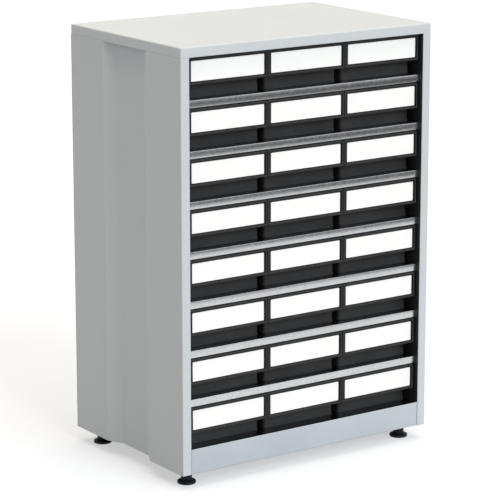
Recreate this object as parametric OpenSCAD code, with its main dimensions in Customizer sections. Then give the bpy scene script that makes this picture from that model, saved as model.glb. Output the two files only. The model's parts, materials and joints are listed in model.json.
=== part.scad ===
// Parts bin cabinet: a folded sheet-steel casing on four levelling feet, with
// rows of pull-out bins standing on galvanised shelves between slotted liners.
// Millimetres. X runs along the width, Y from front to back and Z upwards.
// The origin is on the floor, under the middle of the cabinet.

/* [Bins] */
// Rows of bins, one above the other
rows = 8; // [2:1:8]
// Bins side by side in each row
columns = 3; // [1:1:3]
// Width of one bin over its rims
bin_w = 184; // [120:1:240]
// Height of one bin
bin_h = 81; // [70:1:140]
// Length of one bin from its label plate to its back
bin_l = 380; // [250:1:560]
// Wall thickness of the moulded bin
bin_wall = 2.2; // [1.6:0.1:3]
// Floor thickness of the moulded bin
bin_floor = 2.4; // [1.6:0.1:4]
// How far the bin's body stays inside its rim on each side
body_inset = 6.5; // [4:0.5:10]
// Radius of the body's upright corners
corner_r = 7; // [5:0.5:12]
// Thickness of the rim round the top of the bin
rim_t = 3; // [2:0.5:5]
// How far the rim's outer edge hangs down
rim_drop = 7; // [5:0.5:12]
// Height of the ledge round the bottom of the bin
foot_ledge_h = 4; // [1:0.5:5]
// How far that ledge stands out from the body
foot_ledge_out = 1; // [0.5:0.5:2]
// Cross slots for dividers moulded into each side wall
divider_slots = 3; // [0:1:5]
// Width of a divider slot, between its two ribs
divider_gap = 2.5; // [1.5:0.5:4]
// Thickness and projection of a divider rib
rib_t = 1.5; // [1:0.5:2.5]

/* [Label plate] */
// How far the label plate stands in front of the bin's body
grip_d = 22; // [20:1:40]
// Height of the open grip below the label plate
grip_h = 29; // [20:1:36]
// Width of the raised bead round the label plate
bead_w = 4; // [2:0.1:6]
// How far the bead stands proud of the plate
bead_t = 2.4; // [1:0.1:3]
// Radius of the label plate's corners
plate_r = 2.5; // [1:0.5:4]
// Gap between the label card and the bead at each side
label_side_gap = 4; // [0.5:0.5:20]
// Gap between the label card and the bead, above and below
label_end_gap = 2.5; // [0.5:0.5:10]
// Thickness of the label card
label_t = 0.8; // [0.4:0.1:1]
// Radius of the label card's corners
label_r = 1.5; // [1:0.5:4]

/* [Casing] */
// Thickness of the sheet steel
sheet_t = 1; // [0.8:0.1:1.5]
// Width of the front posts, which is the thickness of a side wall
post_w = 19; // [18:1:40]
// Height of the top cover's folded edge
cover_h = 20; // [12:1:40]
// Depth of the fold under the top cover's front edge
cover_fold = 12; // [6:1:20]
// Height of the plinth panel
plinth_h = 50.5; // [45:0.5:100]
// Gap beside the plinth panel at each post
plinth_gap = 0.8; // [0.4:0.1:2]
// How far the plinth panel lies behind the front of the posts
plinth_recess = 0.6; // [0.2:0.1:2]
// Depth of the folds behind the plinth panel
plinth_fold = 14; // [8:1:20]
// How far the label plates and shelf edges lie behind the front of the casing
setback = 10; // [6:1:30]
// Free space between the bins and the back panel
rear_gap = 9; // [4:1:30]
// Depth of the folds along a side panel's front and rear edges
panel_fold = 15; // [10:1:17]

/* [Side channel] */
// Width of the upright channel pressed into each side panel, at its mouth
channel_w = 160; // [80:1:220]
// Length of the channel's sloping wall, measured from front to back
channel_run = 32; // [20:1:36]
// Depth of the channel
channel_depth = 16; // [6:0.5:16]
// Radius of the bends at the channel's floor
channel_bend_r = 14; // [4:1:16]

/* [Shelves] */
// Height of a shelf's folded front edge
shelf_edge = 14.5; // [8:0.5:25]
// Depth of the fold under the shelf's front edge
shelf_fold = 8; // [4:1:15]
// Free height above a bin, from the shelf that it stands on
bin_top_gap = 2.5; // [2:0.5:10]
// Running clearance under a bin
bin_slide_gap = 0.2; // [0.1:0.1:0.5]
// Gap between neighbouring bins
bin_side_gap = 1; // [0.4:0.1:3]
// Gap between the outer bins and the liners
liner_gap = 4; // [0.5:0.5:8]
// Gap between a shelf's end and the liner
shelf_end_gap = 1; // [0.5:0.5:3]
// Width of the tabs that hook a shelf into the liner
tab_w = 14; // [8:1:20]
// How far a tab reaches past the liner
tab_reach = 1; // [0.5:0.5:1.5]
// Distance of the tabs from a shelf's front and rear edges
tab_inset = 40; // [25:1:80]

/* [Liners] */
// Slots in a liner for each step from shelf to shelf
slots_per_shelf = 2; // [1:1:4]
// Height of a liner slot
slot_h = 3; // [2:0.5:5]
// Clearance round a tab in its slot, from front to back
slot_gap = 0.5; // [0.3:0.1:1]

/* [Feet] */
// Clear height under the casing
foot_h = 30; // [26:1:50]
// Radius of the foot's pad
pad_r = 18.5; // [14:0.5:25]
// Thickness of the pad's edge
pad_t = 5; // [3:0.5:6]
// Radius of the foot's neck
neck_r = 11; // [8:0.5:13]
// Height of the top of the neck above the floor
neck_h = 17; // [12:0.5:18]
// Radius of the threaded stud
stud_r = 5; // [4:0.5:6]
// Clearance round the stud in its boss
stud_gap = 0.05; // [0.02:0.01:0.1]
// Distance of the feet from the outside of the side panels
foot_inset_x = 35; // [33:1:60]
// Distance of the feet from the front and the back
foot_inset_y = 42; // [36:1:100]
// Height of the cross rails that carry the feet
rail_h = 20; // [14:1:20]
// Width of the cross rails
rail_w = 44; // [36:1:60]
// Thickness of the cross rails
rail_t = 2; // [1.5:0.5:3]
// Radius of the threaded boss
boss_r = 9; // [8:0.5:11]
// Height of the threaded boss
boss_h = 14; // [10:1:14]

/* [Hidden] */
function bin_name(row, col) = str("bin_row", row, "_col", col);
function label_name(row, col) = str("label_card_row", row, "_col", col);
function foot_name(side, end) = str("levelling_foot_", end, "_", side);

// How far a cut runs past the face that it opens
cut_over = 1;

// Whole casing
opening_w = columns * bin_w + (columns - 1) * bin_side_gap + 2 * liner_gap;
width = opening_w + 2 * post_w;
depth = setback + bin_l + rear_gap + sheet_t;
clear_h = bin_h + bin_top_gap;
shelf_step = clear_h + shelf_edge;
opening_h = rows * clear_h + (rows - 1) * shelf_edge;
casing_z = foot_h;
opening_z = casing_z + plinth_h;
cover_z = opening_z + opening_h;
height = cover_z + cover_h;
front_y = -depth / 2;
back_y = depth / 2;
inner_x = opening_w / 2;
outer_x = width / 2;

// Bins
column_step = bin_w + bin_side_gap;
bin_front_y = front_y + setback;
plate_h = bin_h - grip_h;
label_w = bin_w - 2 * (bead_w + label_side_gap);
label_h = plate_h - 2 * (bead_w + label_end_gap);
label_z = grip_h + bead_w + label_end_gap;
body_w = bin_w - 2 * body_inset;
body_l = bin_l - grip_d;
rib_h = bin_h - bin_floor - rim_t;

// Shelves and liners
shelf_front_y = front_y + setback;
shelf_back_y = back_y - sheet_t - rear_gap / 2;
shelf_x = inner_x - shelf_end_gap;
tab_front_y = shelf_front_y + tab_inset;
tab_back_y = shelf_back_y - tab_inset - tab_w;
slot_step = shelf_step / slots_per_shelf;
base_shelf_front_y = front_y + plinth_recess + sheet_t;
liner_z = casing_z + sheet_t;
tab_l = shelf_end_gap + sheet_t + tab_reach;

// Side panel
channel_mouth_y = channel_w / 2;
channel_floor_y = channel_mouth_y - channel_run;
panel_back_y = back_y - sheet_t;
bend_steps = 5;

// Feet
foot_x = outer_x - foot_inset_x;
foot_y = depth / 2 - foot_inset_y;
rail_z = casing_z + sheet_t;
stud_over_boss = 18;
stud_top = rail_z + boss_h + stud_over_boss;
pad_cone_h = 3;
pad_edge = 1;
stud_fn = 32;
foot_fn = 72;
edge_fn = 48;

casing_colour = [0.80, 0.82, 0.83];
zinc_colour = [0.66, 0.68, 0.69];
liner_colour = [0.13, 0.14, 0.14];
bin_colour = [0.10, 0.10, 0.11];
label_colour = [0.97, 0.97, 0.96];
foot_colour = [0.05, 0.05, 0.05];

// Height of the surface that a row's bins stand on; row 1 is the top row
function shelf_top(row) = cover_z - clear_h - (row - 1) * shelf_step;
function column_x(col) = (col - (columns + 1) / 2) * column_step;

// Sheet metal: a path of points, rounded at its corners, and its copy one
// thickness to the left, closed into one outline
function unit(v) = v / norm(v);
function leftward(v) = [-v[1], v[0]];
function reversed(list) = [for (i = [len(list) - 1:-1:0]) list[i]];

// Points of an arc of radius r that rounds corner b between a and c
function bend(a, b, c, r) =
    let (
        u = unit(a - b),
        v = unit(c - b),
        half = acos(u * v) / 2,
        reach = r / tan(half),
        middle = b + unit(u + v) * r / sin(half),
        first = b + u * reach - middle,
        last = b + v * reach - middle
    )
    [for (i = [0:bend_steps])
        middle + unit(first * (1 - i / bend_steps) + last * i / bend_steps) * r];

function rounded_path(points, radii) = [
    for (i = [0:len(points) - 1])
        each (radii[i] == 0 ? [points[i]]
            : bend(points[i - 1], points[i], points[i + 1], radii[i]))
];

function shifted_point(before, here, after, t) =
    let (
        m = leftward(unit(here - before)),
        n = leftward(unit(after - here))
    )
    here + (m + n) * t / (1 + m * n);

function shifted_path(points, t) =
    let (last = len(points) - 1)
    [for (i = [0:last])
        i == 0 ? points[0] + leftward(unit(points[1] - points[0])) * t
        : i == last ? points[last] + leftward(unit(points[last] - points[last - 1])) * t
        : shifted_point(points[i - 1], points[i], points[i + 1], t)];

module bent_sheet(points, t) {
    polygon(concat(points, reversed(shifted_path(points, t))));
}

// A rectangle with round corners, centred on x and standing on the x axis
module round_rectangle(w, h, r) {
    translate([-w / 2 + r, 0]) square([w - 2 * r, h]);
    translate([-w / 2, r]) square([w, h - 2 * r]);
    for (x = [-w / 2 + r, w / 2 - r])
        for (y = [r, h - r])
            translate([x, y]) circle(r, $fn = edge_fn);
}

// Turns a profile drawn in x and y up into x and z, with its thickness along +y
module upright(t) {
    translate([0, t, 0]) rotate([90, 0, 0]) linear_extrude(t) children();
}

module block(low, high) {
    translate(low) cube(high - low);
}

module both_sides() {
    children();
    mirror([1, 0, 0]) children();
}

module at_bin(row, col) {
    translate([column_x(col), bin_front_y, shelf_top(row) + bin_slide_gap]) children();
}

// One bin. Its front is at y = 0 and its bottom at z = 0.

module body_outline(grow) {
    translate([0, grip_d - grow])
        round_rectangle(body_w + 2 * grow, body_l + grow, corner_r + grow);
}

module bin_hollow() {
    translate([0, grip_d + bin_wall, bin_floor])
        linear_extrude(bin_h)
            round_rectangle(body_w - 2 * bin_wall, body_l - 2 * bin_wall, corner_r - bin_wall);
}

// The rim over the body: a flat collar with its long edges turned down
module bin_rim() {
    block([-bin_w / 2, grip_d, bin_h - rim_t], [bin_w / 2, bin_l, bin_h]);
    both_sides()
        block([bin_w / 2 - bin_wall, grip_d, bin_h - rim_drop], [bin_w / 2, bin_l, bin_h]);
}

// The plate that holds the label, hollow behind so that fingers reach under it
module label_plate() {
    difference() {
        translate([0, 0, grip_h]) {
            difference() {
                upright(bead_t + bin_wall) round_rectangle(bin_w, plate_h, plate_r);
                translate([0, -bead_t, bead_w])
                    upright(2 * bead_t)
                        round_rectangle(bin_w - 2 * bead_w, plate_h - 2 * bead_w, label_r);
            }
            block([-bin_w / 2, bead_t + bin_wall, bead_w], [bin_w / 2, grip_d + bin_wall, plate_h]);
        }
        block([-bin_w / 2 + bin_wall, bead_t + bin_wall, grip_h - cut_over],
              [bin_w / 2 - bin_wall, grip_d, bin_h - rim_t]);
    }
}

// Pairs of ribs on both side walls, with a divider's thickness between them
module divider_ribs() {
    wall_x = body_w / 2 - bin_wall;
    slot_step_y = body_l / (divider_slots + 1);
    both_sides()
        for (slot = [1:1:divider_slots])
            for (side = [-1, 1])
                translate([wall_x - rib_t, grip_d + slot * slot_step_y
                           + side * (divider_gap + rib_t) / 2 - rib_t / 2, bin_floor])
                    cube([rib_t, rib_t, rib_h]);
}

module storage_bin() {
    color(bin_colour) {
        difference() {
            union() {
                linear_extrude(bin_h) body_outline(0);
                linear_extrude(foot_ledge_h) body_outline(foot_ledge_out);
                bin_rim();
            }
            bin_hollow();
        }
        label_plate();
        divider_ribs();
    }
}

module label_card() {
    color(label_colour)
        translate([0, bead_t - label_t, label_z])
            upright(label_t) round_rectangle(label_w, label_h, label_r);
}

// Casing

// A shallow lid: a top sheet with its four edges folded down, and the front
// edge folded back again
module top_cover() {
    color(casing_colour) {
        difference() {
            block([-outer_x, front_y, cover_z], [outer_x, back_y, height]);
            block([-outer_x + sheet_t, front_y + sheet_t, cover_z - cut_over],
                  [outer_x - sheet_t, back_y - sheet_t, height - sheet_t]);
        }
        block([-inner_x, front_y + sheet_t, cover_z],
              [inner_x, front_y + sheet_t + cover_fold, cover_z + sheet_t]);
    }
}

// The path of the left side panel's outside face, from the fold behind the
// back panel, along the outside with its channel, and round the front post
function side_path() = rounded_path(
    [
        [-outer_x + panel_fold, panel_back_y],
        [-outer_x, panel_back_y],
        [-outer_x, channel_mouth_y],
        [-outer_x + channel_depth, channel_floor_y],
        [-outer_x + channel_depth, -channel_floor_y],
        [-outer_x, -channel_mouth_y],
        [-outer_x, front_y],
        [-inner_x, front_y]
    ],
    [0, 0, 0, channel_bend_r, channel_bend_r, 0, 0, 0]
);

module side_panel() {
    color(casing_colour)
        translate([0, 0, casing_z])
            linear_extrude(cover_z - casing_z) {
                bent_sheet(side_path(), sheet_t);
                translate([-inner_x - 2 * sheet_t, front_y + sheet_t])
                    square([sheet_t, panel_fold]);
            }
}

module left_side_panel() {
    side_panel();
}

module right_side_panel() {
    mirror([1, 0, 0]) side_panel();
}

module back_panel() {
    color(casing_colour)
        block([-outer_x, panel_back_y, casing_z], [outer_x, back_y, cover_z]);
}

// The panel below the bins, between the posts, with folds along its bottom
// and both ends
module plinth() {
    end_x = inner_x - plinth_gap;
    face_y = front_y + plinth_recess;
    color(casing_colour) {
        block([-end_x, face_y, casing_z], [end_x, face_y + sheet_t, opening_z]);
        block([-end_x, face_y, casing_z], [end_x, face_y + plinth_fold, casing_z + sheet_t]);
        both_sides()
            block([end_x - sheet_t, face_y, casing_z],
                  [end_x, face_y + plinth_fold, opening_z - sheet_t - shelf_edge]);
    }
}

// Liners with columns of slots that the shelves hook into

module liner_slot(y, z) {
    block([inner_x - cut_over, y - slot_gap, z],
          [inner_x + sheet_t + cut_over, y + tab_w + slot_gap, z + slot_h]);
}

module slotted_liners() {
    slot_count = rows * slots_per_shelf - 1;
    color(liner_colour)
        both_sides()
            difference() {
                block([inner_x, front_y + sheet_t, liner_z], [inner_x + sheet_t, panel_back_y, cover_z]);
                for (i = [0:slot_count])
                    for (y = [tab_front_y, tab_back_y])
                        liner_slot(y, opening_z + i * slot_step - sheet_t);
            }
}

// Shelves

module shelf_tabs(top) {
    both_sides()
        for (y = [tab_front_y, tab_back_y])
            block([shelf_x, y, top - sheet_t], [shelf_x + tab_l, y + tab_w, top]);
}

// A sheet with its front edge folded down and back, and its rear edge folded down
module shelf(top, front) {
    low = top - shelf_edge;
    block([-shelf_x, front, top - sheet_t], [shelf_x, shelf_back_y, top]);
    block([-shelf_x, front, low], [shelf_x, front + sheet_t, top]);
    block([-shelf_x, front, low], [shelf_x, front + shelf_fold, low + sheet_t]);
    block([-shelf_x, shelf_back_y - sheet_t, low], [shelf_x, shelf_back_y, top]);
    shelf_tabs(top);
}

// The shelves between the rows, and the base shelf that the lowest row stands on
module shelves() {
    color(zinc_colour) {
        for (row = [1:rows - 1])
            shelf(shelf_top(row), shelf_front_y);
        shelf(shelf_top(rows), base_shelf_front_y);
    }
}

// Base

// Two channel-shaped rails across the casing, open at the top, with a boss
// over each foot
module foot_rail() {
    difference() {
        union() {
            difference() {
                block([-inner_x, -rail_w / 2, rail_z], [inner_x, rail_w / 2, rail_z + rail_h]);
                block([-inner_x - cut_over, -rail_w / 2 + rail_t, rail_z + rail_t],
                      [inner_x + cut_over, rail_w / 2 - rail_t, rail_z + rail_h + cut_over]);
            }
            both_sides()
                translate([foot_x, 0, rail_z]) cylinder(boss_h, r = boss_r, $fn = stud_fn);
        }
        both_sides()
            translate([foot_x, 0, rail_z - cut_over])
                cylinder(boss_h + 2 * cut_over, r = stud_r + stud_gap, $fn = stud_fn);
    }
}

module foot_rails() {
    color(casing_colour)
        for (y = [-foot_y, foot_y])
            translate([0, y, 0]) foot_rail();
}

// A pad that flares down from its neck, on a threaded stud
module levelling_foot(x, y) {
    color(foot_colour)
        translate([x, y, 0])
            rotate_extrude($fn = foot_fn)
                polygon([
                    [0, 0],
                    [pad_r - pad_edge, 0],
                    [pad_r, pad_edge],
                    [pad_r, pad_t],
                    [neck_r + pad_edge, pad_t + pad_cone_h],
                    [neck_r, pad_t + pad_cone_h + pad_edge],
                    [neck_r, neck_h],
                    [stud_r, neck_h],
                    [stud_r, stud_top],
                    [0, stud_top]
                ]);
}

for (row = [1:rows])
    for (col = [1:columns]) {
        at_bin(row, col) storage_bin();
        at_bin(row, col) label_card();
    }
top_cover();
left_side_panel();
right_side_panel();
back_panel();
plinth();
slotted_liners();
shelves();
foot_rails();
levelling_foot(-foot_x, -foot_y);
levelling_foot(foot_x, -foot_y);
levelling_foot(-foot_x, foot_y);
levelling_foot(foot_x, foot_y);
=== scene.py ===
import json
import math

import bmesh
import bpy
import numpy as np
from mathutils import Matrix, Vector


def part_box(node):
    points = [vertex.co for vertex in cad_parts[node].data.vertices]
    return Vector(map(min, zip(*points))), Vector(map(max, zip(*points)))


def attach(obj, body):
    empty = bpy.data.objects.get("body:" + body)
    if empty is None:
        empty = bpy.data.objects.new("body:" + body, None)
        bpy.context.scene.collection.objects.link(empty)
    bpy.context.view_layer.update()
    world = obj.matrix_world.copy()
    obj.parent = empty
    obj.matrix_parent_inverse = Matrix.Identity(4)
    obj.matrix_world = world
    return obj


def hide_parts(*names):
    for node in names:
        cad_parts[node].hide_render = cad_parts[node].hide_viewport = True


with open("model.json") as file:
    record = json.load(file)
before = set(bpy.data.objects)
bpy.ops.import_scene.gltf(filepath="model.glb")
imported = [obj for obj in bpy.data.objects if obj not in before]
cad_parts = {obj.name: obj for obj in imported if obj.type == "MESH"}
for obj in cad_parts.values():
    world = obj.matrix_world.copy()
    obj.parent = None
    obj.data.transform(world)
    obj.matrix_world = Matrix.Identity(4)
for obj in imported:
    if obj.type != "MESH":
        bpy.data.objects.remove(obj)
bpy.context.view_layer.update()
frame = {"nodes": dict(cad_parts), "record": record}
nodes = frame["nodes"]

# A parts bin cabinet. Metres; X runs along the width, Y from front to back and Z upwards.
# The bins, the folded sheet parts and the feet are built here as surfaces with the radii
# that a mould or a press brake leaves, over the solids of the same sizes.

MM = 0.001

# Bins
ROWS, COLUMNS = 8, 3
first_low, first_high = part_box("bin_row1_col1")
BIN_W, BIN_L, BIN_H = first_high - first_low
BIN_WALL, BIN_FLOOR = 2.2 * MM, 2.4 * MM
BODY_INSET, CORNER_R = 6.5 * MM, 7 * MM
RIM_T, RIM_DROP = 3 * MM, 7 * MM
LEDGE_H, LEDGE_OUT = 4 * MM, 1 * MM
DIVIDER_SLOTS, DIVIDER_GAP, RIB_T = 3, 2.5 * MM, 1.5 * MM
GRIP_D, GRIP_H, HOOD_START = 22 * MM, 29 * MM, 1 * MM
BEAD_W, BEAD_T, PLATE_R = 4 * MM, 2.4 * MM, 2.5 * MM
LABEL_GAP, GROOVE_DEPTH = 2.1 * MM, 1.6 * MM

# Casing
SHEET = 1 * MM
COVER_FOLD = 12 * MM
PLINTH_FOLD, PLINTH_END_GAP = 14 * MM, 0.3 * MM
PANEL_FOLD, POST_W = 15 * MM, 19 * MM
CHANNEL_W, CHANNEL_RUN, CHANNEL_DEPTH = 160 * MM, 32 * MM, 16 * MM
CHANNEL_MOUTH_R, CHANNEL_FLOOR_R = 2 * MM, 14 * MM
SHELF_EDGE, SHELF_FOLD, SHELF_BEND_R = 14.5 * MM, 8 * MM, 0.7 * MM
SHELF_END_GAP, SLIDE_GAP = 1 * MM, 0.2 * MM
TAB_W, TAB_REACH, TAB_INSET = 14 * MM, 1 * MM, 40 * MM
FOLD_R, COVER_FOLD_R = 1.6 * MM, 2.2 * MM
CUT_R = 0.3 * MM

# Feet
PAD_R, PAD_T, FLARE_H = 18.5 * MM, 5 * MM, 4 * MM
NECK_R, NECK_H = 11 * MM, 17 * MM
STUD_R, THREAD_PITCH, THREAD_DEPTH = 5 * MM, 1.5 * MM, 0.9 * MM

# How far one shell of a piece runs into the next
RIB_SINK, RIB_LAP = 0.2 * MM, 1 * MM
TAB_ROOT, STUD_SINK = 2 * MM, 1 * MM

# How far a flat end runs in from its edge before one face closes it, and the radius of
# the face that closes a turned piece at its axis
PLATE_FRONT_FLAT, PLATE_BACK_FLAT = 1 * MM, 2 * MM
TUB_UNDER_FLAT, TUB_FLOOR_FLAT = 4 * MM, 5 * MM
COVER_FLAT = 12 * MM
AXIS_R = 0.5 * MM

# The radius at each point of an outline
PLATE_RADII = np.array([0, 0.3, 0.3, 0.5, 1.2, 1.7, 0.3, 0]) * MM
HOOD_RADII = np.array([0.5, 1.2, 1.2, 0.5, 0.5, 1.5, 1.5, 0.5]) * MM
TUB_RADII = np.array([0, 0.6, 0.4, 0.4, 0.6, 0.7, 3.0, 0]) * MM
RIM_RADII = np.array([0, 0.8, 0.5, 0.5, 1.4, 0]) * MM
RIB_RADII = np.array([0.5, 0, 0, 0.5]) * MM
PAD_RADII = np.array([0, 1.2, 1.6, 3.0, 1.0, 0, 0]) * MM


# ---------------------------------------------------------------- outlines

SAME_POINT, STRAIGHT_ANGLE, NO_LENGTH = 1e-7, 1e-4, 1e-12


def unit(vectors):
    """Vectors divided by their own lengths."""
    return vectors / np.linalg.norm(vectors, axis=-1, keepdims=True)


def without_repeats(points, closed):
    """The points less those that lie on the point before them."""
    step = np.linalg.norm(points - np.roll(points, 1, axis=0), axis=1) > SAME_POINT
    if not closed:
        step[0] = True
    return points[step]


def rounded(points, radii, closed=True, steps=4):
    """A line of points with its corners rounded.

    At a corner b between a and c, with half angle h, the arc of radius r touches both
    sides at r / tan h from b, and its centre is at r / sin h along their bisector. The
    arc's directions run evenly from its first touching point to its last.
    """
    b = np.asarray(points, float)
    a, c = np.roll(b, 1, axis=0), np.roll(b, -1, axis=0)
    if not closed:
        a[0], c[-1] = 2 * b[0] - b[1], 2 * b[-1] - b[-2]
    r = np.asarray(radii, float)[:, None]
    to_a, to_c = unit(a - b), unit(c - b)
    cosine = np.clip(np.sum(to_a * to_c, axis=1), -1, 1)
    half = (np.arccos(cosine) / 2)[:, None]
    straight = half > math.pi / 2 - STRAIGHT_ANGLE
    r = np.where(straight, 0, r)
    bisector = to_a + to_c + straight * np.stack([-to_a[:, 1], to_a[:, 0]], axis=1)
    middle = b + unit(bisector) * r / np.sin(half)
    first = b + to_a * r / np.tan(half) - middle
    last = b + to_c * r / np.tan(half) - middle
    t = np.linspace(0, 1, steps + 1)[None, :, None]
    blend = first[:, None] * (1 - t) + last[:, None] * t
    length = np.maximum(np.linalg.norm(blend, axis=2, keepdims=True), NO_LENGTH)
    arcs = middle[:, None] + blend / length * r[:, None]
    return without_repeats(arcs.reshape(-1, 2), closed)


def sheet_outline(path, thickness):
    """The closed outline of a folded sheet: the path of its outside face, and back along
    the same path moved to its left by the thickness, or to its right where that is
    negative, mitred at each point."""
    path = np.asarray(path, float)
    along = unit(np.diff(path, axis=0))
    left = np.stack([-along[:, 1], along[:, 0]], axis=1)
    before = np.vstack([left[:1], left])
    after = np.vstack([left, left[-1:]])
    mitre = (before + after) / (1 + np.sum(before * after, axis=1, keepdims=True))
    return np.vstack([path, (path + mitre * thickness)[::-1]])


def folded_sheet(points, radii, thickness=SHEET, steps=4):
    """A folded sheet's outline, with each bend rounded on its outside."""
    return sheet_outline(rounded(points, radii, closed=False, steps=steps), thickness)


# ---------------------------------------------------------------- shells
# A shell is a pair: its vertices (n, 3), and arrays of faces by their vertices' numbers.


def grid_quads(rows, columns):
    """Quads of a grid whose columns wrap round, so that each row is a closed loop.

    The quad at row i and column j joins the points j and j + 1 of the rows i and i + 1.
    """
    start, j = np.meshgrid(np.arange(rows - 1) * columns, np.arange(columns), indexing="ij")
    k = (j + 1) % columns
    quads = np.stack([start + j, start + k, start + columns + k, start + columns + j], axis=-1)
    return quads.reshape(-1, 4)


def closed_shell(grid):
    """A shell from closed loops of points, with a face over its first and last loop."""
    rows, columns = grid.shape[:2]
    loop = np.arange(columns)
    caps = np.stack([loop, (rows - 1) * columns + loop])
    return grid.reshape(-1, 3), [grid_quads(rows, columns), caps]


AXES = {"x": (1, 2, 0), "y": (0, 2, 1), "z": (0, 1, 2)}


def placed(plane, height, axis):
    """Points of a plane and their height over it, with the height along the named axis."""
    points = np.empty(plane.shape[:-1] + (3,))
    u, v, w = AXES[axis]
    points[..., u], points[..., v], points[..., w] = plane[..., 0], plane[..., 1], height
    return points


def extruded(outline, low, high, axis):
    """A closed outline carried straight from one height to another along an axis."""
    heights = np.array([low, high])[:, None]
    plane = np.broadcast_to(outline, (2,) + outline.shape)
    return closed_shell(placed(plane, heights, axis))


def rectangle_loops(width, height, radius, offsets, least=0.3 * MM, steps=5):
    """Round rectangles, one for each offset of the outline from width x height.

    P(s, d) = sign(s) (half + d - r) + r (cos s, sin s), where r = radius + d, but not less
    than the least radius, and sign(s) is the quarter that the angle s lies in.
    """
    quarter = np.linspace(0, math.pi / 2, steps + 1)
    angles = (quarter[None] + np.arange(4)[:, None] * math.pi / 2).ravel()
    signs = np.repeat([[1, 1], [-1, 1], [-1, -1], [1, -1]], steps + 1, axis=0)
    d = np.asarray(offsets, float)[:, None, None]
    r = np.maximum(radius + d, least)
    half = np.array([width / 2, height / 2])
    return signs * (half + d - r) + r * np.stack([np.cos(angles), np.sin(angles)], axis=1)


def carried_round(width, height, radius, profile, axis, centre=(0, 0)):
    """A profile of (offset, height) carried round a round rectangle and closed at both ends."""
    profile = np.asarray(profile, float)
    loops = rectangle_loops(width, height, radius, profile[:, 0]) + np.asarray(centre)
    return closed_shell(placed(loops, profile[:, 1][:, None], axis))


def turned(profile, steps=72):
    """A profile of (radius, height) turned round the Z axis: (r cos a, r sin a, z)."""
    profile = np.asarray(profile, float)
    a = np.linspace(0, 2 * math.pi, steps, endpoint=False)
    circle = np.stack([np.cos(a), np.sin(a)], axis=1)
    plane = profile[:, 0][:, None, None] * circle[None]
    return closed_shell(placed(plane, profile[:, 1][:, None], "z"))


def threaded(radius, depth, pitch, low, high, steps=40, per_turn=8):
    """A threaded rod: r(a, z) = radius - depth |2 frac(z / pitch - a / 2 pi) - 1|, which
    fades to the root radius over the last turn at each end."""
    z = np.linspace(low, high, int((high - low) / pitch * per_turn) + 1)[:, None]
    a = np.linspace(0, 2 * math.pi, steps, endpoint=False)[None]
    phase = (z / pitch - a / (2 * math.pi)) % 1
    full = np.clip(np.minimum(z - low, high - z) / pitch, 0, 1)
    r = radius - depth + depth * full * (1 - np.abs(2 * phase - 1))
    plane = np.stack([r * np.cos(a), r * np.sin(a)], axis=-1)
    return closed_shell(placed(plane, z, "z"))


def moved(shell, offset):
    """The shell with an offset added to all its vertices."""
    vertices, faces = shell
    return vertices + np.asarray(offset, float), faces


def facing(shell, side):
    """The shell as it is for side 1, or its mirror image in the plane x = 0 for side -1."""
    vertices, faces = shell
    return vertices * (side, 1, 1), faces


def both_sides(shell):
    """The shell and its mirror image in the plane x = 0."""
    return [shell, facing(shell, -1)]


def block(low, high):
    """A box between two corners, with its upright edges rounded."""
    corners = [(low[0], low[1]), (high[0], low[1]), (high[0], high[1]), (low[0], high[1])]
    return extruded(rounded(corners, [CUT_R] * 4, steps=3), low[2], high[2], "z")


# ---------------------------------------------------------------- materials


def srgb(*values):
    """A colour in 0-255 display values as linear light, by the curve of such displays."""
    c = np.array(values) / 255
    return (*np.where(c <= 0.04045, c / 12.92, ((c + 0.055) / 1.055) ** 2.4), 1.0)


def new_group(name, inputs, outputs):
    """A shader node group with named inputs and outputs: its tree and its two end nodes."""
    group = bpy.data.node_groups.new(name, "ShaderNodeTree")
    for label, kind, default in inputs:
        socket = group.interface.new_socket(label, in_out="INPUT", socket_type=kind)
        if default is not None:
            socket.default_value = default
    for label, kind in outputs:
        group.interface.new_socket(label, in_out="OUTPUT", socket_type=kind)
    return group, group.nodes.new("NodeGroupInput"), group.nodes.new("NodeGroupOutput")


def fill(tree, made, values):
    """Give a node's inputs what {input: output socket or value} says, and return the node."""
    for key, value in values.items():
        if isinstance(value, bpy.types.NodeSocket):
            tree.links.new(value, made.inputs[key])
        else:
            made.inputs[key].default_value = value
    return made


def node(tree, kind, values=None, **settings):
    """A new shader node with its settings and inputs."""
    made = tree.nodes.new("ShaderNode" + kind)
    for name, value in settings.items():
        setattr(made, name, value)
    return fill(tree, made, values or {})


def group_node(tree, group, values):
    """A new node that holds a group, with its inputs."""
    made = tree.nodes.new("ShaderNodeGroup")
    made.node_tree = group
    return fill(tree, made, values)


def maths(tree, operation, a, b=0.0):
    """One step of arithmetic on two values."""
    return node(tree, "Math", {0: a, 1: b}, operation=operation).outputs[0]


def dot(tree, a, b):
    """The product of two directions: their lengths times the cosine between them."""
    return node(tree, "VectorMath", {0: a, 1: b}, operation="DOT_PRODUCT").outputs["Value"]


def mapped(tree, value, low, high, to_low=0.0, to_high=1.0):
    """The value from low to high carried to the range from to_low to to_high."""
    return node(tree, "MapRange", {0: value, 1: low, 2: high, 3: to_low, 4: to_high}).outputs[0]


def mixed(tree, factor, a, b):
    """A colour between a and b: a where the factor is 0, and b where it is 1."""
    return node(tree, "Mix", {0: factor, 6: a, 7: b}, data_type="RGBA").outputs[2]


def noise(tree, place, scale, detail, roughness):
    """Clouds of values between 0 and 1."""
    values = {"Vector": place, "Scale": scale, "Detail": detail, "Roughness": roughness}
    return node(tree, "TexNoise", values).outputs["Fac"]


# The limits between which a noise, a lean or a height becomes a mask from 0 to 1
MOTTLE_LIMITS = (0.3, 0.7)
LEAN_LIMITS = (0.97, 0.75)
BREAKUP_LIMITS = (0.35, 0.65)
LEVEL_LIMITS = (0.6, 1.0)
CLOUD_LIMITS = (0.4, 0.75)


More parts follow.
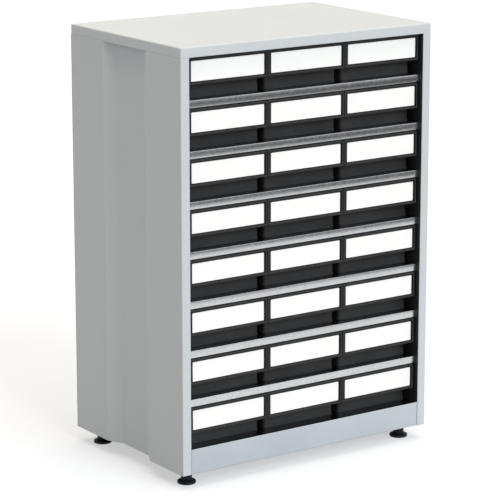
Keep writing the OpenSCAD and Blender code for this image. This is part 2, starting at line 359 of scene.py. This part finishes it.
def grain_group():
    """Fine grain and slow mottle: a height for Bump, and a mask from 0 to 1."""
    tree, given, out = new_group(
        "surface_grain",
        [("Vector", "NodeSocketVector", None), ("Fine Scale", "NodeSocketFloat", 900.0),
         ("Mottle Scale", "NodeSocketFloat", 9.0)],
        [("Height", "NodeSocketFloat"), ("Mottle", "NodeSocketFloat")],
    )
    place = given.outputs["Vector"]
    fine = noise(tree, place, given.outputs["Fine Scale"], detail=3.0, roughness=0.55)
    slow = noise(tree, place, given.outputs["Mottle Scale"], detail=4.0, roughness=0.5)
    fill(tree, out, {"Height": fine, "Mottle": mapped(tree, slow, *MOTTLE_LIMITS)})
    return tree


# The finishes use this group's edge mask to paint edges brighter: a painted highlight along folds and
# beads, broken up like rubbed wear.
def edge_wear_and_highlight_group():
    """Edges: the normal rounded within a radius, and a mask of where it leans away from
    the true one, broken up by noise."""
    tree, given, out = new_group(
        "edge_wear_and_highlight",
        [("Vector", "NodeSocketVector", None), ("Radius", "NodeSocketFloat", 0.001),
         ("Breakup Scale", "NodeSocketFloat", 120.0)],
        [("Normal", "NodeSocketVector"), ("Edge", "NodeSocketFloat")],
    )
    rounded_normal = node(tree, "Bevel", {"Radius": given.outputs["Radius"]}, samples=6).outputs[0]
    lean = dot(tree, rounded_normal, node(tree, "NewGeometry").outputs["True Normal"])
    spots = noise(tree, given.outputs["Vector"], given.outputs["Breakup Scale"], detail=3.0, roughness=0.6)
    edge = maths(tree, "MULTIPLY", mapped(tree, lean, *LEAN_LIMITS), mapped(tree, spots, *BREAKUP_LIMITS))
    fill(tree, out, {"Normal": rounded_normal, "Edge": edge})
    return tree


def dust_and_level_group():
    """The dust that settles on upward faces, and level faces of both kinds: masks from 0 to 1."""
    tree, given, out = new_group(
        "settled_dust_and_level_faces",
        [("Vector", "NodeSocketVector", None), ("Scale", "NodeSocketFloat", 30.0)],
        [("Dust", "NodeSocketFloat"), ("Level", "NodeSocketFloat")],
    )
    upward = node(tree, "SeparateXYZ", {0: node(tree, "NewGeometry").outputs["Normal"]}).outputs["Z"]
    cloud = noise(tree, given.outputs["Vector"], given.outputs["Scale"], detail=5.0, roughness=0.6)
    dust = maths(tree, "MULTIPLY", mapped(tree, upward, *LEVEL_LIMITS), mapped(tree, cloud, *CLOUD_LIMITS))
    level = mapped(tree, maths(tree, "ABSOLUTE", upward), *LEVEL_LIMITS)
    fill(tree, out, {"Dust": dust, "Level": level})
    return tree


GRAIN, EDGE_WEAR_AND_HIGHLIGHT, DUST_AND_LEVEL = grain_group(), edge_wear_and_highlight_group(), dust_and_level_group()


class Finish:
    """A material with its grain, edges and dust ready, for one Principled shader."""

    def __init__(self, name, fine, mottle, radius, breakup=120.0, dust=30.0):
        """The scales of its noises, and the radius of its edges."""
        self.material = bpy.data.materials.new(name)
        self.material.use_nodes = True
        self.tree = self.material.node_tree
        self.shader = self.tree.nodes["Principled BSDF"]
        self.place = node(self.tree, "TexCoord").outputs["Object"]
        grain = {"Vector": self.place, "Fine Scale": fine, "Mottle Scale": mottle}
        edge_inputs = {"Vector": self.place, "Radius": radius, "Breakup Scale": breakup}
        settled = {"Vector": self.place, "Scale": dust}
        self.height, self.mottle = group_node(self.tree, GRAIN, grain).outputs
        self.normal, self.edge = group_node(self.tree, EDGE_WEAR_AND_HIGHLIGHT, edge_inputs).outputs
        self.dust, self.level = group_node(self.tree, DUST_AND_LEVEL, settled).outputs

    def ground(self, dark, pale, mask=None):
        """The base colour: two shades, mottled or mixed by another mask."""
        self.colour = mixed(self.tree, mask or self.mottle, dark, pale)

    def cover(self, mask, amount, colour):
        """Another colour over the base colour, as far as a mask and an amount say."""
        self.colour = mixed(self.tree, maths(self.tree, "MULTIPLY", mask, amount), self.colour, colour)

    def shine(self, rough, mask=None, metallic=0.0, specular=0.5):
        """Roughness between two values, by the mottle or another mask, and the constants."""
        roughness = mapped(self.tree, mask or self.mottle, 0, 1, *rough)
        values = {"Roughness": roughness, "Metallic": metallic, "Specular IOR Level": specular}
        fill(self.tree, self.shader, values)

    def bumps(self, depth, strength):
        """The grain's bumps, on the normal of the rounded edges."""
        values = {"Height": self.height, "Distance": depth, "Strength": strength, "Normal": self.normal}
        self.normal = node(self.tree, "Bump", values).outputs[0]

    def made(self):
        """The material, once its colour and normal are joined to the shader."""
        fill(self.tree, self.shader, {"Base Color": self.colour, "Normal": self.normal})
        return self.material


def powder_coat(name, dark, pale):
    """Light grey powder coat: orange peel, faint mottle, and edges painted brighter: a painted highlight
    along the folds, broken up like rubbed wear.
    """
    f = Finish(name, fine=420.0, mottle=5.0, radius=2.4 * MM)
    f.ground(dark, pale)
    # The edges painted brighter: a painted highlight along the folds and corners.
    f.cover(f.edge, amount=0.8, colour=srgb(234, 238, 241))
    f.cover(f.dust, amount=0.1, colour=srgb(196, 192, 184))
    f.shine(rough=(0.47, 0.53), specular=0.4)
    f.bumps(depth=0.05 * MM, strength=0.5)
    return f.made()


def zinc_sheet():
    """Galvanised sheet: spangles of slightly different brightness and gloss, painted darker on
    the level faces: a painted shade of the shelf tops under the bins, partly dulled zinc where the bins
    slide."""
    f = Finish("zinc_sheet", fine=1500.0, mottle=14.0, radius=0.4 * MM)
    spangles = node(f.tree, "TexVoronoi", {"Vector": f.place, "Scale": 260.0, "Randomness": 1.0})
    shade = node(f.tree, "SeparateColor", {0: spangles.outputs["Color"]}).outputs[0]
    f.ground(srgb(196, 198, 200), srgb(208, 210, 212), mask=shade)
    f.cover(f.mottle, amount=0.25, colour=srgb(186, 188, 190))
    # Level faces, up and down, painted darker: a painted shade of the shelf tops under the bins, partly
    # dulled zinc.
    f.cover(f.level, amount=0.8, colour=srgb(104, 106, 108))
    f.shine(rough=(0.21, 0.24), mask=shade, metallic=1.0)
    return f.made()


def liner_coat():
    """Matt dark grey coat on the slotted liners."""
    f = Finish("liner_coat", fine=700.0, mottle=12.0, radius=0.5 * MM)
    f.ground(srgb(24, 25, 26), srgb(30, 31, 32))
    # The edges painted paler: a painted highlight on the edges of the slots.
    f.cover(f.edge, amount=0.5, colour=srgb(74, 76, 77))
    f.shine(rough=(0.52, 0.62))
    f.bumps(depth=0.04 * MM, strength=0.5)
    return f.made()


def bin_plastic():
    """Black moulded polypropylene with a fine spark-eroded grain, and edges painted paler: a painted
    highlight on the beads and the ledge, broken up like rubbed wear.
    """
    f = Finish("bin_plastic", fine=1400.0, mottle=16.0, radius=0.3 * MM, dust=45.0)
    f.ground(srgb(44, 44, 45), srgb(52, 52, 53))
    # The edges painted paler: a painted highlight on the beads and the ledge.
    f.cover(f.edge, amount=0.15, colour=srgb(84, 84, 84))
    f.cover(f.dust, amount=0.05, colour=srgb(120, 116, 110))
    f.shine(rough=(0.36, 0.44), specular=0.2)
    f.bumps(depth=0.03 * MM, strength=0.45)
    return f.made()


def label_card():
    """Smooth white card with faint fibres."""
    f = Finish("label_card", fine=2200.0, mottle=60.0, radius=0.3 * MM)
    f.ground(srgb(254, 253, 251), srgb(255, 254, 253))
    f.shine(rough=(0.50, 0.60))
    f.bumps(depth=0.02 * MM, strength=0.3)
    return f.made()


def foot_plastic():
    """Black moulded plastic of the pads, a little paler at its edges."""
    f = Finish("foot_plastic", fine=1200.0, mottle=40.0, radius=0.6 * MM)
    f.ground(srgb(14, 18, 18), srgb(20, 24, 24))
    f.cover(f.edge, amount=0.25, colour=srgb(56, 58, 58))
    f.shine(rough=(0.42, 0.55), specular=0.2)
    f.bumps(depth=0.03 * MM, strength=0.5)
    return f.made()


def bright_steel():
    """Zinc-plated thread."""
    f = Finish("bright_steel", fine=1800.0, mottle=80.0, radius=0.2 * MM)
    f.ground(srgb(172, 174, 176), srgb(198, 200, 202))
    f.shine(rough=(0.25, 0.38), metallic=1.0)
    f.bumps(depth=0.02 * MM, strength=0.3)
    return f.made()


FINISHES = {
    "casing_paint": powder_coat("powder_coat", srgb(200, 204, 208), srgb(204, 208, 212)),
    "zinc_sheet": zinc_sheet(),
    "liner_paint": liner_coat(),
    "bin_plastic": bin_plastic(),
    "label_card": label_card(),
    "foot_plastic": foot_plastic(),
}
# The plinth in a darker, bluer copy of the casing's coat: painted shade, for the light that falls off
# toward the floor.
PLINTH_SHADED_PAINT = powder_coat("plinth_coat_painted_shade", srgb(183, 191, 198), srgb(195, 202, 208))
THREAD = bright_steel()

# ---------------------------------------------------------------- pieces

SMOOTH_BELOW = math.radians(40)


def add_piece(name, shells, slot, body, replaced, extra=None):
    """One mesh of the given shells, facing outwards, that stands for CAD nodes and rides
    on a body. extra is one more shell and its own material."""
    shells = list(shells)
    first_extra = len(shells)
    materials = [FINISHES[slot]]
    if extra is not None:
        shells.append(extra[0])
        materials.append(extra[1])
    starts = np.cumsum([0] + [len(vertices) for vertices, _ in shells])
    faces, owners = [], []
    for number, (start, (_, arrays)) in enumerate(zip(starts, shells)):
        for array in arrays:
            faces += (array + start).tolist()
            owners += [number] * len(array)
    mesh = bpy.data.meshes.new(name)
    mesh.from_pydata(np.vstack([vertices for vertices, _ in shells]).tolist(), [], faces)
    mesh.polygons.foreach_set("material_index", (np.array(owners) >= first_extra).astype(np.int32))
    work = bmesh.new()
    work.from_mesh(mesh)
    bmesh.ops.recalc_face_normals(work, faces=work.faces)
    work.to_mesh(mesh)
    work.free()
    mesh.polygons.foreach_set("use_smooth", np.ones(len(mesh.polygons), bool))
    mesh.set_sharp_from_angle(angle=SMOOTH_BELOW)
    for material in materials:
        mesh.materials.append(material)
    piece = bpy.data.objects.new(name, mesh)
    bpy.context.scene.collection.objects.link(piece)
    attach(piece, body)
    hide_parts(*replaced)
    return piece


def label_plate():
    """The slab round the label card, with its bead raised along the edge."""
    width, height = BIN_W, BIN_H - GRIP_H
    seat = -BEAD_W - LABEL_GAP
    deep = BEAD_T + GROOVE_DEPTH
    back = BEAD_T + BIN_WALL
    line = [(seat - PLATE_FRONT_FLAT, BEAD_T), (seat, BEAD_T), (seat, deep), (-BEAD_W, deep),
            (-BEAD_W, 0), (0, 0), (0, back), (-PLATE_BACK_FLAT, back)]
    profile = rounded(line, PLATE_RADII, closed=False)
    return carried_round(width, height, PLATE_R, profile, "y", centre=(0, GRIP_H + height / 2))


def grip_hood():
    """The walls behind the label plate, open at the bottom for the fingers."""
    x, low, top = BIN_W / 2, GRIP_H + BEAD_W, BIN_H
    inner_x, inner_top = x - BIN_WALL, top - RIM_T
    corners = [(-x, low), (-x, top), (x, top), (x, low),
               (inner_x, low), (inner_x, inner_top), (-inner_x, inner_top), (-inner_x, low)]
    return extruded(rounded(corners, HOOD_RADII), BEAD_T + HOOD_START, GRIP_D + BIN_WALL, "y")


def tub():
    """The body: ledge, outer wall, top edge, inner wall and floor, carried round it."""
    inner = -BIN_WALL
    line = [(-TUB_UNDER_FLAT, 0), (LEDGE_OUT, 0), (LEDGE_OUT, LEDGE_H), (0, LEDGE_H), (0, BIN_H),
            (inner, BIN_H), (inner, BIN_FLOOR), (inner - TUB_FLOOR_FLAT, BIN_FLOOR)]
    profile = rounded(line, TUB_RADII, closed=False)
    width, length = BIN_W - 2 * BODY_INSET, BIN_L - GRIP_D
    return carried_round(width, length, CORNER_R, profile, "z", centre=(0, GRIP_D + length / 2))


def side_rim():
    """The turned-down rim along one side."""
    x, under = BIN_W / 2, BIN_H - RIM_T
    inner = x - BODY_INSET - BIN_WALL
    corners = [(inner, under), (x - BIN_WALL, under), (x - BIN_WALL, BIN_H - RIM_DROP),
               (x, BIN_H - RIM_DROP), (x, BIN_H), (inner, BIN_H)]
    return extruded(rounded(corners, RIM_RADII), GRIP_D, BIN_L, "y")


def divider_ribs():
    """Pairs of ribs on a side wall that hold a divider between them."""
    wall = BIN_W / 2 - BODY_INSET - BIN_WALL
    step = (BIN_L - GRIP_D) / (DIVIDER_SLOTS + 1)
    shells = []
    for slot in range(1, DIVIDER_SLOTS + 1):
        for side in (-1, 1):
            y = GRIP_D + slot * step + side * (DIVIDER_GAP + RIB_T) / 2
            corners = [(wall - RIB_T, y - RIB_T / 2), (wall + RIB_LAP, y - RIB_T / 2),
                       (wall + RIB_LAP, y + RIB_T / 2), (wall - RIB_T, y + RIB_T / 2)]
            outline = rounded(corners, RIB_RADII, steps=3)
            shells.append(extruded(outline, BIN_FLOOR - RIB_SINK, BIN_H - RIM_T, "z"))
    return shells


def storage_bin():
    """All the shells of one bin, with the middle of its lower front edge at the origin."""
    shells = [label_plate(), grip_hood(), tub()]
    for half in [side_rim()] + divider_ribs():
        shells += both_sides(half)
    return shells


def add_bins():
    """The same bin in every place of the rows and columns, each on its own body."""
    shells = storage_bin()
    for row in range(1, ROWS + 1):
        for column in range(1, COLUMNS + 1):
            name = f"bin_row{row}_col{column}"
            low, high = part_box(name)
            place = ((low[0] + high[0]) / 2, low[1], low[2])
            placed_shells = [moved(shell, place) for shell in shells]
            add_piece(f"moulded_{name}", placed_shells, "bin_plastic", f"bin_{row}_{column}", [name])


def add_top_cover():
    """A shallow lid with its edges folded down, and the front edge folded back again."""
    low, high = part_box("top_cover")
    skirt = high[2] - low[2]
    under = skirt - SHEET
    line = [(-COVER_FLAT, skirt), (0, skirt), (0, 0), (-SHEET, 0), (-SHEET, under), (-COVER_FLAT, under)]
    radii = [0, COVER_FOLD_R, 0, 0, COVER_FOLD_R - SHEET, 0]
    profile = rounded(line, radii, closed=False, steps=5)
    lid = carried_round(high[0] - low[0], high[1] - low[1], COVER_FOLD_R, profile, "z")
    inner_x, fold_y = high[0] - POST_W, low[1] + SHEET
    fold = [(fold_y, 0), (fold_y + COVER_FOLD, 0), (fold_y + COVER_FOLD, SHEET), (fold_y, SHEET)]
    strip = extruded(rounded(fold, [0, CUT_R, CUT_R, 0]), -inner_x, inner_x, "x")
    shells = [moved(shell, (0, 0, low[2])) for shell in (lid, strip)]
    add_piece("folded_top_cover", shells, "casing_paint", "casing", ["top_cover"])


def add_side_panels():
    """Each side: from the fold behind the back panel along the outside, into the upright
    channel and out again, and round the front post, with the lip that stiffens it."""
    low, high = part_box("left_side_panel")
    x, front, rear = low[0], low[1], high[1]
    inner_x = x + POST_W
    mouth = CHANNEL_W / 2
    floor_x, floor_y = x + CHANNEL_DEPTH, mouth - CHANNEL_RUN
    points = [(x + PANEL_FOLD, rear), (x, rear), (x, mouth), (floor_x, floor_y), (floor_x, -floor_y),
              (x, -mouth), (x, front), (inner_x, front)]
    radii = [0, FOLD_R, CHANNEL_MOUTH_R, CHANNEL_FLOOR_R, CHANNEL_FLOOR_R, CHANNEL_MOUTH_R, FOLD_R, 0]
    skin = extruded(folded_sheet(points, radii, steps=8), low[2], high[2], "z")
    lip = block((inner_x - 2 * SHEET, front + SHEET, low[2]),
                (inner_x - SHEET, front + SHEET + PANEL_FOLD, high[2]))
    for name, side in (("left_side_panel", 1), ("right_side_panel", -1)):
        shells = [facing(shell, side) for shell in (skin, lip)]
        add_piece(f"folded_{name}", shells, "casing_paint", "casing", [name])


def add_plinth():
    """The panel under the bins, with folds along its bottom and both ends."""
    low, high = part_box("plinth")
    path = [(low[1] + PLINTH_FOLD, low[2]), (low[1], low[2]), (low[1], high[2])]
    outline = folded_sheet(path, [0, FOLD_R, 0], thickness=-SHEET)
    face = extruded(outline, low[0], high[0], "x")
    end = block((high[0] - SHEET, low[1] + PLINTH_END_GAP, low[2] + PLINTH_END_GAP),
                (high[0], low[1] + PLINTH_FOLD, high[2] - SHEET - SHELF_EDGE))
    piece = add_piece("folded_plinth", [face] + both_sides(end), "casing_paint", "casing", ["plinth"])
    # The plinth takes the darker copy of the coat: painted shade.
    piece.data.materials[0] = PLINTH_SHADED_PAINT


def add_shelves():
    """Sheets with a front edge folded down and back, a rear edge folded down, and four
    tabs that hook into the liners."""
    low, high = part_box("shelves")
    reach, back = high[0], high[1]
    end_x = reach - SHELF_END_GAP - SHEET - TAB_REACH
    edge_front = first_low[1]
    for row in range(1, ROWS + 1):
        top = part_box(f"bin_row{row}_col1")[0][2] - SLIDE_GAP
        front = low[1] if row == ROWS else edge_front
        path = [(front + SHELF_FOLD, top - SHELF_EDGE), (front, top - SHELF_EDGE), (front, top),
                (back, top), (back, top - SHELF_EDGE)]
        radii = [0, SHELF_BEND_R, SHELF_BEND_R, SHELF_BEND_R, 0]
        outline = folded_sheet(path, radii, thickness=-SHEET)
        shells = [extruded(outline, -end_x, end_x, "x")]
        for y in (edge_front + TAB_INSET, back - TAB_INSET - TAB_W):
            tab = block((end_x - TAB_ROOT, y, top - SHEET), (reach, y + TAB_W, top))
            shells += both_sides(tab)
        add_piece(f"folded_shelf_{row}", shells, "zinc_sheet", "casing", ["shelves"])


def add_feet():
    """A moulded pad that flares from its neck, on a threaded stud."""
    line = [(AXIS_R, 0), (PAD_R, 0), (PAD_R, PAD_T), (NECK_R, PAD_T + FLARE_H), (NECK_R, NECK_H),
            (STUD_R, NECK_H), (AXIS_R, NECK_H)]
    pad = turned(rounded(line, PAD_RADII, closed=False, steps=5))
    for end in ("front", "rear"):
        for side in ("left", "right"):
            name = f"levelling_foot_{end}_{side}"
            low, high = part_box(name)
            place = ((low[0] + high[0]) / 2, (low[1] + high[1]) / 2, 0)
            stud = threaded(STUD_R, THREAD_DEPTH, THREAD_PITCH, NECK_H - STUD_SINK, high[2])
            add_piece(f"moulded_{name}", [moved(pad, place)], "foot_plastic", f"foot_{end}_{side}",
                      [name], extra=(moved(stud, place), THREAD))


def dress_nodes():
    """The nodes that stay as they are get the finish of their material slot."""
    for entry in frame["record"]["subparts"]:
        mesh = nodes[entry["node"]].data
        mesh.materials.clear()
        mesh.materials.append(FINISHES[entry["material_slot"]])


# ---------------------------------------------------------------- stage, light and camera

CAMERA_PLACE = (-2.729, -3.920, 1.5356)
CAMERA_YAW, CAMERA_PITCH = 0.96315, -0.23263
FOCAL_PIXELS, IMAGE_PIXELS, SENSOR = 2400, 500, 36.0
CLIP_NEAR, CLIP_FAR = 0.1, 60


def add_camera():
    """The view from the left of the front, a little above the top, with a long lens."""
    data = bpy.data.cameras.new("camera")
    data.sensor_width = SENSOR
    data.lens = FOCAL_PIXELS / IMAGE_PIXELS * SENSOR
    data.clip_start, data.clip_end = CLIP_NEAR, CLIP_FAR
    camera = bpy.data.objects.new("camera", data)
    level = math.cos(CAMERA_PITCH)
    look = Vector((level * math.cos(CAMERA_YAW), level * math.sin(CAMERA_YAW), math.sin(CAMERA_PITCH)))
    camera.location = CAMERA_PLACE
    camera.rotation_euler = look.to_track_quat("-Z", "Y").to_euler()
    bpy.context.scene.collection.objects.link(camera)
    bpy.context.scene.camera = camera


# The direction toward each lamp, its strength, the degrees that it fills and its colour
LAMPS = {
    "front_lamp": ((0.05, -0.46, 0.28), 1.84, 36, (0.89, 0.955, 1.0)),
    "top_lamp": ((0.05, -0.05, 1.0), 1.82, 60, (1.0, 0.90, 0.74)),
}


def add_lamp(name, toward, strength, spread, colour):
    """A far, broad lamp."""
    data = bpy.data.lights.new(name, "SUN")
    data.energy, data.angle, data.color = strength, math.radians(spread), colour
    lamp = bpy.data.objects.new(name, data)
    lamp.rotation_euler = Vector(toward).to_track_quat("Z", "Y").to_euler()
    bpy.context.scene.collection.objects.link(lamp)


WHITE, BLACK = (1.0, 1.0, 1.0, 1.0), (0.0, 0.0, 0.0, 1.0)
WORLD_LIGHT, WORLD_TINT = 0.40, (1.0, 0.98, 0.92, 1.0)
FLOOR_R, FLOOR_RINGS, FLOOR_STEPS, FLOOR_MIDDLE = 16.0, 40, 96, 0.1
FLOOR_SHADE, FLOOR_GLOW, FLOOR_ROUGHNESS = (0.47, 0.485, 0.52, 1.0), 0.50, 0.9
STUDIO_SIDE, STUDIO_DARK = (0.57, -0.82, 0.0), 0.05
PAPER_NEAR, PAPER_FAR = 2.0, 2.85


def rays(tree, first, *others):
    """1 for rays of the named kinds, and 0 for the rest."""
    path = node(tree, "LightPath")
    found = path.outputs[first]
    for kind in others:
        found = maths(tree, "MAXIMUM", found, path.outputs[kind])
    return found


def add_world():
    """Even soft light, and plain white behind the object."""
    world = bpy.data.worlds.new("studio")
    world.use_nodes = True
    bpy.context.scene.world = world
    tree = world.node_tree
    seen = rays(tree, "Is Camera Ray", "Is Transmission Ray", "Is Glossy Ray")
    fill(tree, tree.nodes["Background"], {
        "Color": mixed(tree, seen, WORLD_TINT, WHITE),
        "Strength": mapped(tree, seen, 0, 1, WORLD_LIGHT, 1.0),
    })


def floor_paint():
    """Pale paper that shows white to the camera and keeps the object's shadow.

    It ends some way off on one side: what the object reflects beyond it is the dark studio.
    """
    material = bpy.data.materials.new("pale_floor")
    material.use_nodes = True
    tree = material.node_tree
    seen = rays(tree, "Is Camera Ray", "Is Transmission Ray")
    glossy = rays(tree, "Is Glossy Ray")
    far = dot(tree, node(tree, "TexCoord").outputs["Object"], STUDIO_SIDE)
    paper = mapped(tree, far, PAPER_NEAR, PAPER_FAR, 1.0, STUDIO_DARK)
    shown = maths(tree, "MAXIMUM", seen, maths(tree, "MULTIPLY", glossy, paper))
    keep = maths(tree, "MAXIMUM", paper, maths(tree, "SUBTRACT", 1.0, glossy))
    fill(tree, tree.nodes["Principled BSDF"], {
        "Base Color": mixed(tree, keep, BLACK, FLOOR_SHADE),
        "Emission Color": WHITE,
        "Emission Strength": maths(tree, "MULTIPLY", shown, FLOOR_GLOW),
        "Roughness": FLOOR_ROUGHNESS,
        "Specular IOR Level": 0.0,
    })
    return material


def add_floor():
    """A round floor: rings of radius R t^2, closer together under the object."""
    t = np.linspace(FLOOR_MIDDLE, 1, FLOOR_RINGS)[:, None]
    a = np.linspace(0, 2 * math.pi, FLOOR_STEPS, endpoint=False)[None]
    r = FLOOR_R * t ** 2
    points = placed(np.stack([r * np.cos(a), r * np.sin(a)], axis=-1), 0, "z")
    faces = grid_quads(FLOOR_RINGS, FLOOR_STEPS).tolist() + [list(range(FLOOR_STEPS))]
    mesh = bpy.data.meshes.new("floor")
    mesh.from_pydata(points.reshape(-1, 3).tolist(), [], faces)
    mesh.materials.append(floor_paint())
    floor = bpy.data.objects.new("floor", mesh)
    bpy.context.scene.collection.objects.link(floor)


add_camera()
dress_nodes()
add_bins()
add_top_cover()
add_side_panels()
add_plinth()
add_shelves()
add_feet()
add_world()
add_floor()
for lamp_name, lamp_values in LAMPS.items():
    add_lamp(lamp_name, *lamp_values)
bpy.context.scene.view_settings.view_transform = "Standard"
